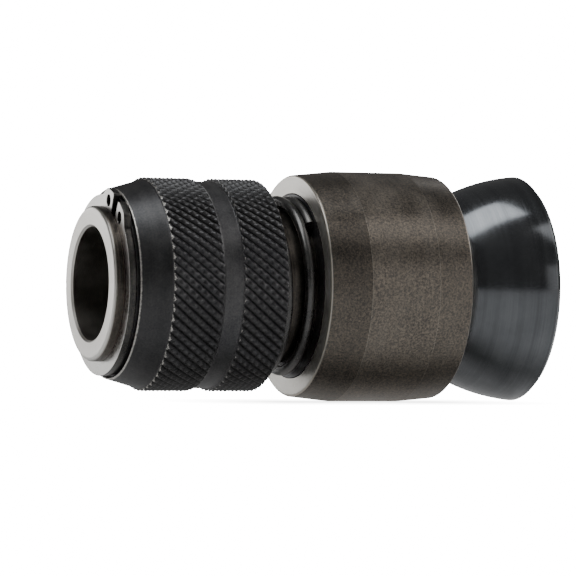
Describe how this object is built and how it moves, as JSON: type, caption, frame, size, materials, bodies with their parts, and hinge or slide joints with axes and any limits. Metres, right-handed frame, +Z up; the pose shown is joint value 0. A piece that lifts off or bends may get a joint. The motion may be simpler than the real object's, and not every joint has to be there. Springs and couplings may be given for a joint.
{
  "type": "quick-change drill chuck",
  "caption": "Quick-change drill chuck: a pull-back knurled sleeve on a ball-lock nose, with a return spring, a tapered collar and a crowned rear hub.",
  "frame": {"origin": "centre of the spindle thread's mouth, on the rear mounting face", "axes": "X along the tool axis: the nose points to -X and the rear mounting face to +X. +Z up, one locking ball at the top."},
  "size_m": [0.078, 0.0392, 0.0392],
  "materials": {
    "body_steel": "ground steel, bright on the nose face, dark in the bore",
    "spring_steel": "bright ground spring steel",
    "black_oxide": "satin black oxide on turned steel",
    "polished_steel": "polished bearing steel",
    "black_spring": "satin black oil-tempered spring wire",
    "browned_steel": "mottled brown-black heat-treated steel with fine turning marks",
    "gloss_black_steel": "glossy black oxide over fine turning marks",
    "seal_rubber": "black nitrile rubber",
    "bronze": "sintered bronze"
  },
  "bodies": {
    "chuck": {"chuck_body": "body_steel", "retaining_ring": "spring_steel", "stop_washer": "black_oxide", "return_spring": "black_spring", "spring_washer": "black_oxide", "collar_shell": "browned_steel", "collar_key": "body_steel", "collar_seal": "seal_rubber", "collar_lock_nut": "black_oxide", "rear_hub": "gloss_black_steel", "spigot_lock_screws": "black_oxide", "hub_grub_screws": "black_oxide", "ejector_spring": "black_spring", "plunger_guide_bush": "bronze"},
    "spring_carrier": {"spring_seat_ring": "black_oxide"},
    "sleeve": {"locking_sleeve": "black_oxide"},
    "ball_1": {"locking_ball_1": "polished_steel"},
    "ball_2": {"locking_ball_2": "polished_steel"},
    "ball_3": {"locking_ball_3": "polished_steel"},
    "ejector": {"ejector_plunger": "body_steel", "plunger_clip": "spring_steel"}
  },
  "joints": [
    {"name": "sleeve_slide", "type": "slide", "parent": "chuck", "child": "spring_carrier", "axis": [1, 0, 0], "range_m": [0, 0.006], "stiffness_N_per_m": 2500, "springref_m": -0.006, "deforming": ["return_spring"]},
    {"name": "sleeve_turn", "type": "hinge", "parent": "spring_carrier", "child": "sleeve", "pos_m": [0, 0, 0], "axis": [1, 0, 0], "continuous": true},
    {"name": "ejector_slide", "type": "slide", "parent": "chuck", "child": "ejector", "axis": [1, 0, 0], "range_m": [0, 0.005], "stiffness_N_per_m": 800, "springref_m": -0.004, "deforming": ["ejector_spring"]},
    {"name": "ball_1_slide", "type": "slide", "parent": "chuck", "child": "ball_1", "axis": [0, 0, 1], "range_m": [0, 0.0013]},
    {"name": "ball_2_slide", "type": "slide", "parent": "chuck", "child": "ball_2", "axis": [0, -0.866, -0.5], "range_m": [0, 0.0013]},
    {"name": "ball_3_slide", "type": "slide", "parent": "chuck", "child": "ball_3", "axis": [0, 0.866, -0.5], "range_m": [0, 0.0013]}
  ],
  "couplings": [
    {"joint": "ball_1_slide", "follows": "sleeve_slide", "ratio": 0.208},
    {"joint": "ball_2_slide", "follows": "sleeve_slide", "ratio": 0.208},
    {"joint": "ball_3_slide", "follows": "sleeve_slide", "ratio": 0.208}
  ]
}
